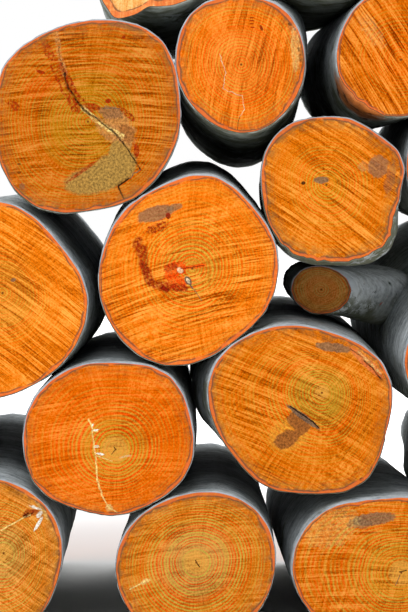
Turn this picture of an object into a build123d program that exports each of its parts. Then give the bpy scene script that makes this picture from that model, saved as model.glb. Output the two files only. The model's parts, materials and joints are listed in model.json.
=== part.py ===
from build123d import *
import os
from dataclasses import dataclass, field
from math import cos, degrees, pi, sin

import numpy as np

# A stack of freshly felled alder rounds, cut to one metre and piled six rows high.
# Every round lies along Y with its sawn face towards the front. The rounds of row 1 stand on the
# ground, and each round above bears on the two that carry it. Millimetres, +Z up.

# Driving dimensions
log_length = 1000.0
section_count = 5
outline_points = 24
seat_clearance = 0.5
clearance_slack = 0.01

# A swelling that a round bears on: its spread round the bark in degrees, and the widest gap that
# one bridges
swelling_spread = 28.0
widest_bridge = 45.0

# How often a round is settled among its neighbours, and how near its front a touch has to be for
# the front face to give way instead of the back end
settling_turns = 40
bearing_turns = 8
front_share = 0.1

# The side limb of the forked round: where its sawn end lies from the round's own face, its radii,
# and how far back the stations of its collar lie. The collar widens to the trunk's side by a share
# of the radii at each station and thickens by another share.
limb_set_back = 200.0
limb_across = -244.0
limb_up = 118.0
limb_face = (56, 52, 46, 43, 43, 45, 49, 52, 53, 50, 46, 45, 44, 46, 50, 54)
collar_depths = (0.0, 25.0, 70.0, 130.0, 260.0)
collar_widening = (0.0, 0.35, 1.0, 1.9, 3.0)
collar_thickening = (0.0, 0.2, 1.0, 1.8, 2.4)

# The tongue torn from under the face of the round on top, across and up from its centre, with how
# far back it thins out into the round
tongue = ((-92, -60), (-91, -100), (-77, -119), (-70, -133), (-56, -132), (-30, -125), (-9, -110), (6, -80))
tongue_depth = 90.0
tongue_root_share = 0.6

# The directions of a section's corners, those of the thinner limb, and those in which gaps are
# looked for
corner_angles = np.linspace(0, 2 * pi, outline_points, endpoint=False)
limb_angles = np.linspace(0, 2 * pi, outline_points * 2 // 3, endpoint=False)
directions = np.linspace(0, 2 * pi, 10 * outline_points, endpoint=False)


@dataclass
class Round:
    """One sawn length of trunk."""

    name: str
    # centre of the front face, from the stack's middle and from the ground
    across: float
    up: float
    # radii of the front face at equal angles, anticlockwise from the right
    face: tuple
    # girth at the front, one third back, two thirds back and at the back, as a share of the face
    girth: tuple = (1.0, 1.0, 1.0, 1.0)
    # how far the back end lies from the front end, across and up
    lean: tuple = (0.0, 0.0)
    bow: tuple = (0.0, 0.0)
    set_back: float = 0.0
    longer: float = 0.0
    rests_on: tuple = ()
    # swellings over buried knots, each as section, direction in degrees and height
    swellings: list = field(default_factory=list)


rounds = [
    # Row 1, on the ground
    Round("row_1_left_end_log", -684, 130, (131, 128, 132, 130, 127, 130, 132, 129), longer=-12, set_back=14),
    Round(
        "row_1_notched_log", -376, 148, (133, 142, 143, 144, 142, 140, 139, 139, 143, 148, 141, 131),
        girth=(1.0, 1.03, 1.06, 1.08), lean=(-30, 0), bow=(0, 3), set_back=6, longer=8,
    ),
    Round(
        "row_1_middle_log", -14, 136, (136, 145, 143, 133, 130, 136, 138, 135, 134, 134, 130, 130),
        girth=(1.0, 0.99, 0.97, 0.94), lean=(2, 0), bow=(2, -2), set_back=3, longer=-6,
    ),
    Round(
        "row_1_broad_log", 310, 129, (160, 156, 142, 127, 140, 156, 160, 146, 136, 130, 136, 148),
        girth=(1.0, 0.98, 0.95, 0.93), lean=(-30, 0), bow=(-2, 2), set_back=8, longer=4,
    ),
    Round("row_1_right_end_log", 670, 128, (130, 126, 129, 124, 128, 131, 127, 130), set_back=10, longer=-8),
    # Row 2
    Round(
        "row_2_left_end_log", -564, 362, (128, 125, 127, 130, 126, 128, 125, 129),
        girth=(1.0, 1.02, 1.04, 1.05), lean=(14, 6), set_back=12,
        rests_on=("row_1_left_end_log", "row_1_notched_log"),
    ),
    Round(
        "row_2_ringed_log", -163, 360,
        (146, 146, 150, 137, 129, 134, 139, 145, 146, 149, 145, 133, 134, 134, 139, 148),
        girth=(1.0, 1.01, 1.0, 0.98), lean=(-4, 3), bow=(2, 2), set_back=2, longer=5,
        rests_on=("row_1_notched_log", "row_1_middle_log"),
    ),
    Round(
        "row_2_knotty_log", 160, 408,
        (160, 167, 156, 144, 145, 150, 158, 162, 151, 139, 136, 143, 143, 156, 169, 158),
        girth=(1.0, 1.02, 1.03, 1.03), lean=(4, 8), bow=(-2, 3), longer=-4,
        rests_on=("row_2_ringed_log", "row_1_broad_log"),
    ),
    Round(
        "row_2_right_end_log", 499, 286, (98, 96, 97, 99, 98, 95, 99, 97), girth=(1.0, 0.94, 0.86, 0.77),
        lean=(-4, -8), set_back=16, longer=-10,
        rests_on=("row_1_broad_log", "row_1_right_end_log"),
    ),
    # Row 3
    Round(
        "row_3_broad_log", -367, 598,
        (170, 158, 153, 163, 168, 168, 167, 165, 165, 167, 168, 170, 173, 167, 168, 170),
        girth=(1.0, 1.02, 1.03, 1.03), lean=(4, 12), bow=(3, -2), set_back=4, longer=-5,
        rests_on=("row_2_left_end_log", "row_2_ringed_log"),
    ),
    Round(
        "row_3_stained_log", -24, 648,
        (151, 152, 151, 162, 160, 148, 150, 150, 155, 162, 168, 172, 163, 148, 144, 149),
        girth=(1.0, 1.03, 1.05, 1.06), lean=(2, 8), bow=(0, 3), longer=6,
        rests_on=("row_2_ringed_log", "row_2_knotty_log"),
    ),
    Round(
        "row_3_forked_log", 452, 488, (112, 108, 112, 116, 114, 110, 111, 108, 112, 110, 108, 111),
        girth=(1.0, 1.2, 1.48, 1.62), lean=(32, 58), set_back=5, longer=4,
        rests_on=("row_2_knotty_log", "row_2_right_end_log"),
    ),
    # Row 4
    Round(
        "row_4_split_log", -194, 908,
        (155, 162, 178, 172, 162, 159, 165, 168, 163, 170, 180, 177, 161, 160, 156, 154),
        girth=(1.0, 0.98, 0.96, 0.93), lean=(-4, -2), bow=(3, 3), set_back=2,
        rests_on=("row_3_broad_log", "row_3_stained_log"),
    ),
    Round(
        "row_4_mossy_log", 214, 782,
        (120, 136, 126, 126, 125, 130, 132, 125, 116, 117, 126, 132, 127, 138, 146, 128),
        girth=(1.0, 1.0, 0.98, 0.96), lean=(16, -8), bow=(2, 0), set_back=4, longer=3,
        rests_on=("row_3_stained_log", "row_3_forked_log"),
    ),
    Round(
        "row_4_right_end_log", 462, 824, (120, 116, 119, 122, 118, 121, 117, 119), lean=(8, 16), set_back=14,
        longer=-6, rests_on=("row_4_mossy_log", "row_3_forked_log"),
    ),
    # Row 5
    Round(
        "row_5_butt_log", 61, 994, (111, 116, 120, 116, 121, 116, 109, 107, 109, 116, 114, 110),
        girth=(1.0, 1.05, 1.1, 1.14), lean=(14, -36), longer=4,
        rests_on=("row_4_split_log", "row_4_mossy_log"), swellings=[(1, 50, 36), (2, 50, 30), (3, 52, 28)],
    ),
    Round(
        "row_5_scarred_log", 333, 1010, (109, 109, 112, 114, 113, 108, 108, 110, 110, 105, 106, 108),
        girth=(1.0, 1.02, 1.03, 1.04), lean=(-6, 2), bow=(2, 0), set_back=6, longer=-4,
        rests_on=("row_4_mossy_log", "row_4_right_end_log"),
    ),
    # Row 6
    Round(
        "row_6_torn_log", -84, 1204, (116, 117, 120, 114, 110, 116, 114, 112, 110, 112, 116, 118),
        girth=(1.0, 1.05, 1.09, 1.1), lean=(-4, -14), set_back=3, longer=2,
        rests_on=("row_4_split_log", "row_5_butt_log"),
    ),
    Round(
        "row_6_slender_log", 214, 1226, (124, 120, 117, 121, 124, 122, 118, 122), girth=(1.0, 1.02, 1.02, 1.0),
        lean=(4, -6), set_back=8, longer=-6, rests_on=("row_5_butt_log", "row_5_scarred_log"),
    ),
]


def front(log):
    return -log_length / 2 + log.set_back


def length(log):
    return log_length + log.longer - log.set_back


def share(log, y):
    """How far along the round a station lies, from 0 at the front to 1 at the back."""
    return (y - front(log)) / length(log)


def centre(log, t):
    """Centre of the round, across and up, at a share of its length."""
    rise = 4 * t * (1 - t)
    return np.array([
        log.across + log.lean[0] * t + log.bow[0] * rise,
        log.up + log.lean[1] * t + log.bow[1] * rise,
    ])


def smooth_radius(radii, angles):
    """Radius in the given directions of a smooth closed curve through radii at equal angles."""
    waves = np.fft.rfft(radii) / len(radii)
    orders = np.arange(len(waves))
    weights = np.where((orders == 0) | (orders == len(radii) / 2), 1, 2)
    return (np.exp(1j * np.outer(angles, orders)) @ (weights * waves)).real


def section_radius(log, section, angles):
    """Radius of one section of the round, with its swellings."""
    girth = np.polyfit([0, 1 / 3, 2 / 3, 1], log.girth, 3)
    radii = smooth_radius(log.face, angles) * np.polyval(girth, section / (section_count - 1))
    for place, direction, height in log.swellings:
        if place == section:
            turn = (np.degrees(angles) - direction + 180) % 360 - 180
            radii = radii + height * np.exp(-((turn / swelling_spread) ** 2))
    return radii


def at_station(log, y):
    """Centre of the round at station y, and the radii of its corners there."""
    place = np.clip(share(log, y), 0, 1) * (section_count - 1)
    before = min(int(place), section_count - 2)
    part = place - before
    shares = [before / (section_count - 1), (before + 1) / (section_count - 1)]
    middle = (1 - part) * centre(log, shares[0]) + part * centre(log, shares[1])

    around = corner_angles
    near = section_radius(log, before, around)
    far = section_radius(log, before + 1, around)
    return middle, (1 - part) * near + part * far


def flat_radius(radii, angles):
    """Radius in the given directions of the many-sided outline with these corner radii."""
    step = 2 * pi / outline_points
    place = np.mod(angles, 2 * pi) / step
    before = place.astype(int) % outline_points
    turn = (place - np.floor(place)) * step
    near = radii[before]
    far = radii[(before + 1) % outline_points]
    return near * far * sin(step) / (near * np.sin(turn) + far * np.sin(step - turn))


def gap(log, other, y):
    """Smallest gap between two rounds at station y, negative in an overlap, and its direction."""
    (x, z), radii = at_station(log, y)
    (other_x, other_z), other_radii = at_station(other, y)
    own = flat_radius(radii, directions)
    across = x + own * np.cos(directions) - other_x
    up = z + own * np.sin(directions) - other_z
    gaps = np.hypot(across, up) - flat_radius(other_radii, np.arctan2(up, across))
    nearest = int(np.argmin(gaps))
    return gaps[nearest], directions[nearest]


def sections(log):
    """Stations of the round's sections, from the front face to the back."""
    return np.linspace(front(log), front(log) + length(log), section_count)


def nearest_station(log, other, first, last):
    """The gap, its direction and its station where two rounds come nearest between two stations."""
    ends = sorted((*sections(log), *sections(other)))
    middles = [(before + after) / 2 for before, after in zip(ends, ends[1:])]
    return min((*gap(log, other, y), y) for y in (*ends, *middles) if first <= y <= last)


def halves(log):
    """First and last station of the front half and of the back half."""
    ys = sections(log)
    middle = ys[section_count // 2]
    return (ys[0], middle), (middle, ys[-1])


def move_end(log, at_back, step):
    """Shift one end of the round and leave the other where it is."""
    if at_back:
        log.lean = (log.lean[0] + step[0], log.lean[1] + step[1])
    else:
        log.across += step[0]
        log.up += step[1]
        log.lean = (log.lean[0] - step[0], log.lean[1] - step[1])


def close_by(log, other):
    """Whether two rounds lie near enough to touch anywhere along their length."""
    reach = max(log.face) * max(log.girth) + max(other.face) * max(other.girth) + 3 * widest_bridge
    return any(np.hypot(*(centre(log, t) - centre(other, t))) < reach for t in (0, 0.5, 1))


def swing_clear(log, laid):
    """Keep the front face where it is and swing the back end clear of the rounds already laid."""
    neighbours = [other for other in laid if close_by(log, other)]
    for turn in range(settling_turns):
        moved = False
        for other in neighbours:
            for first, last in halves(log):
                space, direction, y = nearest_station(log, other, first, last)
                if space < seat_clearance - clearance_slack:
                    lever = share(log, y)
                    at_back = lever > front_share
                    push = (seat_clearance - space) / (lever if at_back else 1)
                    move_end(log, at_back, (-push * cos(direction), -push * sin(direction)))
                    moved = True
        if not moved:
            return


def bear_on(log, supports):
    """Raise swellings in the second and the last but one section until each bears on its support."""
    bearings = []
    for other in supports:
        for section, (first, last) in zip((1, section_count - 2), halves(log)):
            space, direction = gap(log, other, sections(log)[section])
            if space < widest_bridge:
                bearings.append((len(log.swellings), other, first, last))
                log.swellings.append((section, degrees(direction), 0.0))
    for turn in range(bearing_turns):
        for number, other, first, last in bearings:
            section, direction, height = log.swellings[number]
            space = nearest_station(log, other, first, last)[0]
            log.swellings[number] = (section, direction, height + space - seat_clearance)


def stand_on_ground(log):
    """Bring the lowest line of both ends of the round down to the ground."""
    for turn in range(bearing_turns):
        for at_back, y in enumerate((sections(log)[0], sections(log)[-1])):
            middle, radii = at_station(log, y)
            lowest = (middle[1] + radii * np.sin(corner_angles)).min()
            move_end(log, at_back, (0, -lowest))


def cross_plane(y):
    """Plane square to the rounds at station y, its own X and Y along +X and +Z."""
    return Plane(origin=(0, y, 0), x_dir=(1, 0, 0), z_dir=(0, -1, 0))


def outline(log, section):
    """Points of one section's outline."""
    x, z = centre(log, section / (section_count - 1))
    radii = section_radius(log, section, corner_angles)
    return [(x + r * cos(a), z + r * sin(a)) for r, a in zip(radii, corner_angles)]


def make_round(log):
    """Loft the round through its sections."""
    with BuildPart() as body:
        for section, y in enumerate(sections(log)):
            with BuildSketch(cross_plane(y)):
                with BuildLine():
                    Polyline(*outline(log, section), close=True)
                make_face()
        loft(ruled=True)
    return body.part


def make_limb(log):
    """Loft the side limb from its sawn end back through its collar into the trunk."""
    x, z = log.across + limb_across, log.up + limb_up
    radii = smooth_radius(limb_face, limb_angles)
    with BuildPart() as limb:
        for depth, widening, thickening in zip(collar_depths, collar_widening, collar_thickening):
            points = []
            for r, a in zip(radii, limb_angles):
                towards_trunk = max(cos(a), 0)
                reach = 1 + widening * (towards_trunk > 0)
                drop = 1 + thickening * towards_trunk ** 2 * (sin(a) < 0)
                points.append((x + r * cos(a) * reach, z + r * sin(a) * drop))
            with BuildSketch(cross_plane(front(log) + limb_set_back + depth)):
                with BuildLine():
                    Polyline(*points, close=True)
                make_face()
        loft(ruled=True)
    return limb.part


def make_tongue(log):
    """Loft the torn tongue back from the round's face, thinning into the round."""
    with BuildPart() as torn:
        for depth, share_out in ((0, 1.0), (tongue_depth, tongue_root_share)):
            points = [(log.across + share_out * x, log.up + share_out * z) for x, z in tongue]
            with BuildSketch(cross_plane(front(log) + depth)):
                with BuildLine():
                    Polyline(*points, close=True)
                make_face()
        loft(ruled=True)
    return torn.part


by_name = {log.name: log for log in rounds}
laid = []
for log in rounds:
    if log.rests_on:
        swing_clear(log, laid)
        bear_on(log, [by_name[name] for name in log.rests_on])
    else:
        stand_on_ground(log)
    laid.append(log)

pieces = {log.name: make_round(log) for log in rounds}
pieces["row_3_forked_log"] += make_limb(by_name["row_3_forked_log"])
pieces["row_6_torn_log"] += make_tongue(by_name["row_6_torn_log"])

# The origin is at the middle of the stack, on the ground
box = Compound(list(pieces.values())).bounding_box()
to_origin = Pos(-box.center().X, -box.center().Y, -box.min.Z)

os.makedirs("parts", exist_ok=True)
for name, piece in pieces.items():
    piece = to_origin * piece
    piece.label = name
    export_step(piece, f"parts/{name}.step")
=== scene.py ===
import json
from dataclasses import dataclass
from functools import partial, reduce
from itertools import product
from math import cos, pi, radians, sin

import bmesh
import bpy
import numpy as np
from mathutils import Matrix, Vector
from mathutils.bvhtree import BVHTree

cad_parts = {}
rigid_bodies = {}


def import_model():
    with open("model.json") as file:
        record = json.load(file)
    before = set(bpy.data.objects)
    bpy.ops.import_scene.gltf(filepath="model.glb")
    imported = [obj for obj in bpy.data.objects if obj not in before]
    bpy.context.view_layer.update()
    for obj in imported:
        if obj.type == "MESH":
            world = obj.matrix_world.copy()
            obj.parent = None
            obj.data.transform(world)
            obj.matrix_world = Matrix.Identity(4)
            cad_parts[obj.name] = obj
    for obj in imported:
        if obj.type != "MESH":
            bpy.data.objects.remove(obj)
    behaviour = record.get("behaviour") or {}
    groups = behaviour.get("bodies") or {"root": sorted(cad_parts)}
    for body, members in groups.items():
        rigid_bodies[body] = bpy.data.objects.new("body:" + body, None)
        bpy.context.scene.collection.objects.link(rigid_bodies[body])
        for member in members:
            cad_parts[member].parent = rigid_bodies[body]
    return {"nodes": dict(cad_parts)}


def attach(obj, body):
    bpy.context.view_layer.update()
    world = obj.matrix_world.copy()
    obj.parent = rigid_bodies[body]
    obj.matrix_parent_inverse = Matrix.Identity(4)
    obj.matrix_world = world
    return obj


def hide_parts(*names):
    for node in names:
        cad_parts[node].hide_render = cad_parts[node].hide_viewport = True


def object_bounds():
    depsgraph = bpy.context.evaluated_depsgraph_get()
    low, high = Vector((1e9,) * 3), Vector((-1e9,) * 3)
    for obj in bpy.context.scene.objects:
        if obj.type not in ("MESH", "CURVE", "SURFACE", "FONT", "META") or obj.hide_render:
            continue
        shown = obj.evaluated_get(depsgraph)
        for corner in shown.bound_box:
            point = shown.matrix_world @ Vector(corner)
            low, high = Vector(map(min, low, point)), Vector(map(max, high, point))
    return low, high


bl_info = {
    "name": "Stack of alder logs",
    "version": (1, 0, 0),
    "blender": (4, 5, 0),
    "location": "3D View > Sidebar > Logs",
    "description": "Barked, sawn and ringed logs around a fixed stack",
    "category": "Object",
}

for thing in list(bpy.data.objects):
    bpy.data.objects.remove(thing)
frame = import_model()
cad_low, cad_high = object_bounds()

# A millimetre in metres; lengths below are in millimetres where nothing else is said
MM = 0.001

# Where the stack's own origin lies in the frame: across, along at the front faces, and up
MIDDLE = (5.5, -504.0, 3.5)

# Directions round a log, stations along its bark, and rings of the faces
AROUND = 128
ALONG = 60
FRONT_RINGS = 46
BACK_RINGS = 14

# How stations crowd towards the sawn face and rings towards the rim, and how far in the last ring is
STATION_CROWDING = 1.25
RING_CROWDING = 1.15
LAST_RING = 0.985

# Material numbers of a piece
FACE, BARK, LIMB_FACE, BACK_FACE = range(4)

# From the middle of a far end to its pith, across and up
BACK_PITH = (6, -4)

# Corners of the bark and of a face nearer than this are welded, in metres
WELD = 0.0003

# The floor's size and the lamps' places and size, in metres
FLOOR_SIZE = 60
FRONT_LAMP = (-1.3, -4.4, 4.0)
BACK_LAMP = (1.4, 4.2, 4.2)
LAMP_SIZE = 3.4

ORIGIN = (0, 0, 0)
WHITE = (1, 1, 1, 1)
FLOOR_COLOUR = (0.72, 0.72, 0.72, 1)

# The forked log's limb: its sawn end's place from the stack's origin, how far back it lies, and
# how its collar widens to the trunk's side and thickens below
LIMB_CENTRE = (208.0, 606.0)
LIMB_SET_BACK = 200.0
COLLAR_DEPTHS = (0.0, 25.0, 70.0, 130.0, 260.0, 420.0)
COLLAR_WIDENING = (0.0, 0.35, 1.0, 1.9, 3.0, 3.4)
COLLAR_THICKENING = (0.0, 0.2, 1.0, 1.8, 2.4, 2.4)

# Directions in which the forked trunk is hidden by its limb
LIMB_SECTOR = (115.0, 215.0)


@dataclass
class Stain:
    """A blotch on a sawn face: kind, place from the pith, half length, half width and turn."""

    kind: str
    across: float
    up: float
    half_length: float
    half_width: float
    turn: float = 0.0
    ragged: float = 0.35
    share: float = 0.85
    broken: float = 0.0


@dataclass
class Crack:
    """A line through points: across a face from the pith, or on the bark from the stack's origin."""

    kind: str
    points: tuple
    width: float
    ragged: float = 3.0
    broken: float = 0.0
    depth: float = 0.0


@dataclass
class Log:
    """What one log looks like beyond its shape."""

    node: str
    pith: tuple = None
    tone: tuple = (216, 108, 10)
    # colour round the pith and how far out it reaches
    heart: tuple = (205, 120, 24)
    heart_reach: float = 60.0
    # how far out the pale, even wood round the pith reaches
    core: float = 0.0
    ring: float = 5.4
    ring_share: float = 0.6
    # direction of the saw marks, their strength, and that of a second set across them
    saw_angle: float = 10.0
    saw_share: float = 0.6
    cross_share: float = 0.1
    # change of the marks' strength across and up the face, per metre
    saw_side: tuple = (0.0, 0.0)
    band: float = 6.4
    # strength of the brown stain inside the rim
    rim_share: float = 0.5
    moss: float = 0.15
    lichen: float = 0.4
    # where the bark stands back from the sawn face, as directions, widths and how far along
    shelf: tuple = ()
    shelf_depth: float = 30.0
    # the values of each Stain, and of each Crack on the face and on the bark
    stains: tuple = ()
    cracks: tuple = ()
    marks: tuple = ()

    def __post_init__(self):
        self.stains = [Stain(*values) for values in self.stains]
        self.cracks = [Crack(*values) for values in self.cracks]
        self.marks = [Crack(*values) for values in self.marks]


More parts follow.
